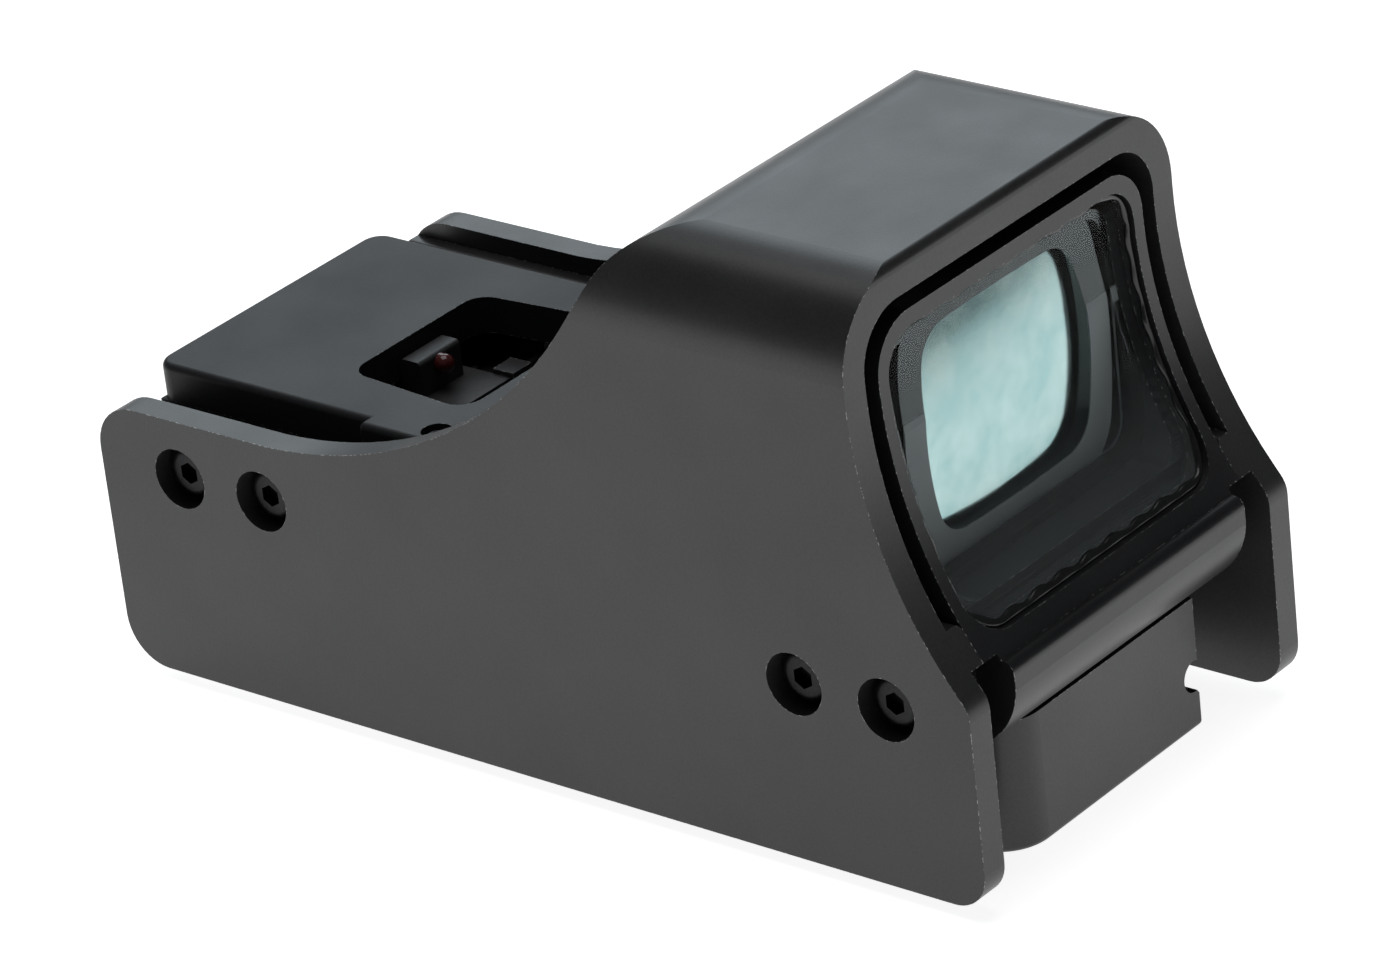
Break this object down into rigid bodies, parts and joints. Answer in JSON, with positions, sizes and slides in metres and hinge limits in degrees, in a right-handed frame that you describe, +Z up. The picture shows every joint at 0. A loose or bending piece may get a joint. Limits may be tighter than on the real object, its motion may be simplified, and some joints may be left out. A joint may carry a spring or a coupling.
{
  "type": "red dot finder",
  "caption": "Hooded reflex red dot finder: a plate hood over a coated lens, an LED well with elevation and windage screws, and a block foot.",
  "frame": {"origin": "centre of the footprint, on the underside of the foot", "axes": "+Z up, -Y towards the front window (the target), +Y towards the tail and the eye, +X across to the side with the windage screw"},
  "size_m": [0.05, 0.1042, 0.0598],
  "materials": {
    "plate": "black anodised, bead blasted",
    "housing": "black anodised, fine sparkle",
    "cell": "gloss black",
    "black_screw": "black oxide",
    "steel": "bright",
    "pane": "clear, coated",
    "reflector": "teal mirror coating",
    "sealant": "glossy black",
    "gasket": "matt black",
    "board": "solder mask",
    "switch": "plain",
    "button": "matt",
    "moulding": "fine texture",
    "led": "dark red tint",
    "brass": "plain",
    "carriage": "black anodised"
  },
  "bodies": {
    "frame": {"hood": "plate", "hood_screws_left": "black_screw", "hood_screws_right": "black_screw", "optic_housing": "housing", "front_window": "pane", "window_seal": "sealant", "lens_cell": "cell", "lens_cell_seal": "sealant", "reflex_lens": "reflector", "lens_retainer": "housing", "main_body": "housing", "deck_cover": "plate", "deck_gasket": "gasket", "deck_screws": "black_screw", "housing_screws": "black_screw", "foot_screws": "black_screw", "mount_foot": "plate", "guide_pins": "steel", "circuit_board": "board", "board_screws": "steel", "switch_board": "board", "switches": "switch", "battery_contacts": "brass", "elevation_spring": "steel", "up_button_spring": "steel", "down_button_spring": "steel"},
    "elevation_screw": {"elevation_screw": "black_screw", "elevation_clip": "steel"},
    "carriage": {"elevation_carriage": "carriage", "windage_spring": "steel"},
    "emitter": {"emitter_block": "moulding", "led_emitter": "led"},
    "windage_screw": {"windage_screw": "black_screw", "windage_clip": "steel"},
    "windage_nut": {"windage_nut": "carriage"},
    "up_button": {"up_button": "button"},
    "down_button": {"down_button": "button"},
    "battery_tray": {"battery_tray": "moulding", "coin_cell": "steel"}
  },
  "joints": [
    {"name": "elevation_turn", "type": "hinge", "parent": "frame", "child": "elevation_screw", "pos_m": [-0.0157, 0.01625, 0.0253], "axis": [0, 0, 1], "range_deg": [-451, 451]},
    {"name": "carriage_lift", "type": "slide", "parent": "frame", "child": "carriage", "axis": [0, 0, 1], "range_m": [-0.0005, 0.0005], "deforming": ["elevation_spring"]},
    {"name": "windage_turn", "type": "hinge", "parent": "frame", "child": "windage_screw", "pos_m": [0.019, 0.02565, 0.0241], "axis": [1, 0, 0], "range_deg": [-516, 516]},
    {"name": "nut_travel", "type": "slide", "parent": "frame", "child": "windage_nut", "axis": [1, 0, 0], "range_m": [-0.0005, 0.0005]},
    {"name": "emitter_travel", "type": "slide", "parent": "carriage", "child": "emitter", "axis": [1, 0, 0], "range_m": [-0.0005, 0.0005], "deforming": ["windage_spring"]},
    {"name": "up_press", "type": "slide", "parent": "frame", "child": "up_button", "axis": [0, -1, 0], "range_m": [0, 0.0006], "stiffness_N_per_m": 700, "deforming": ["up_button_spring"]},
    {"name": "down_press", "type": "slide", "parent": "frame", "child": "down_button", "axis": [0, -1, 0], "range_m": [0, 0.0006], "stiffness_N_per_m": 700, "deforming": ["down_button_spring"]},
    {"name": "tray_slide", "type": "slide", "parent": "frame", "child": "battery_tray", "axis": [0, 1, 0], "range_m": [0, 0.024]}
  ],
  "couplings": [
    {"joint": "elevation_turn", "follows": "carriage_lift", "rad_per_m": -15708},
    {"joint": "windage_turn", "follows": "nut_travel", "rad_per_m": -17952},
    {"joint": "emitter_travel", "follows": "nut_travel", "ratio": 1}
  ]
}
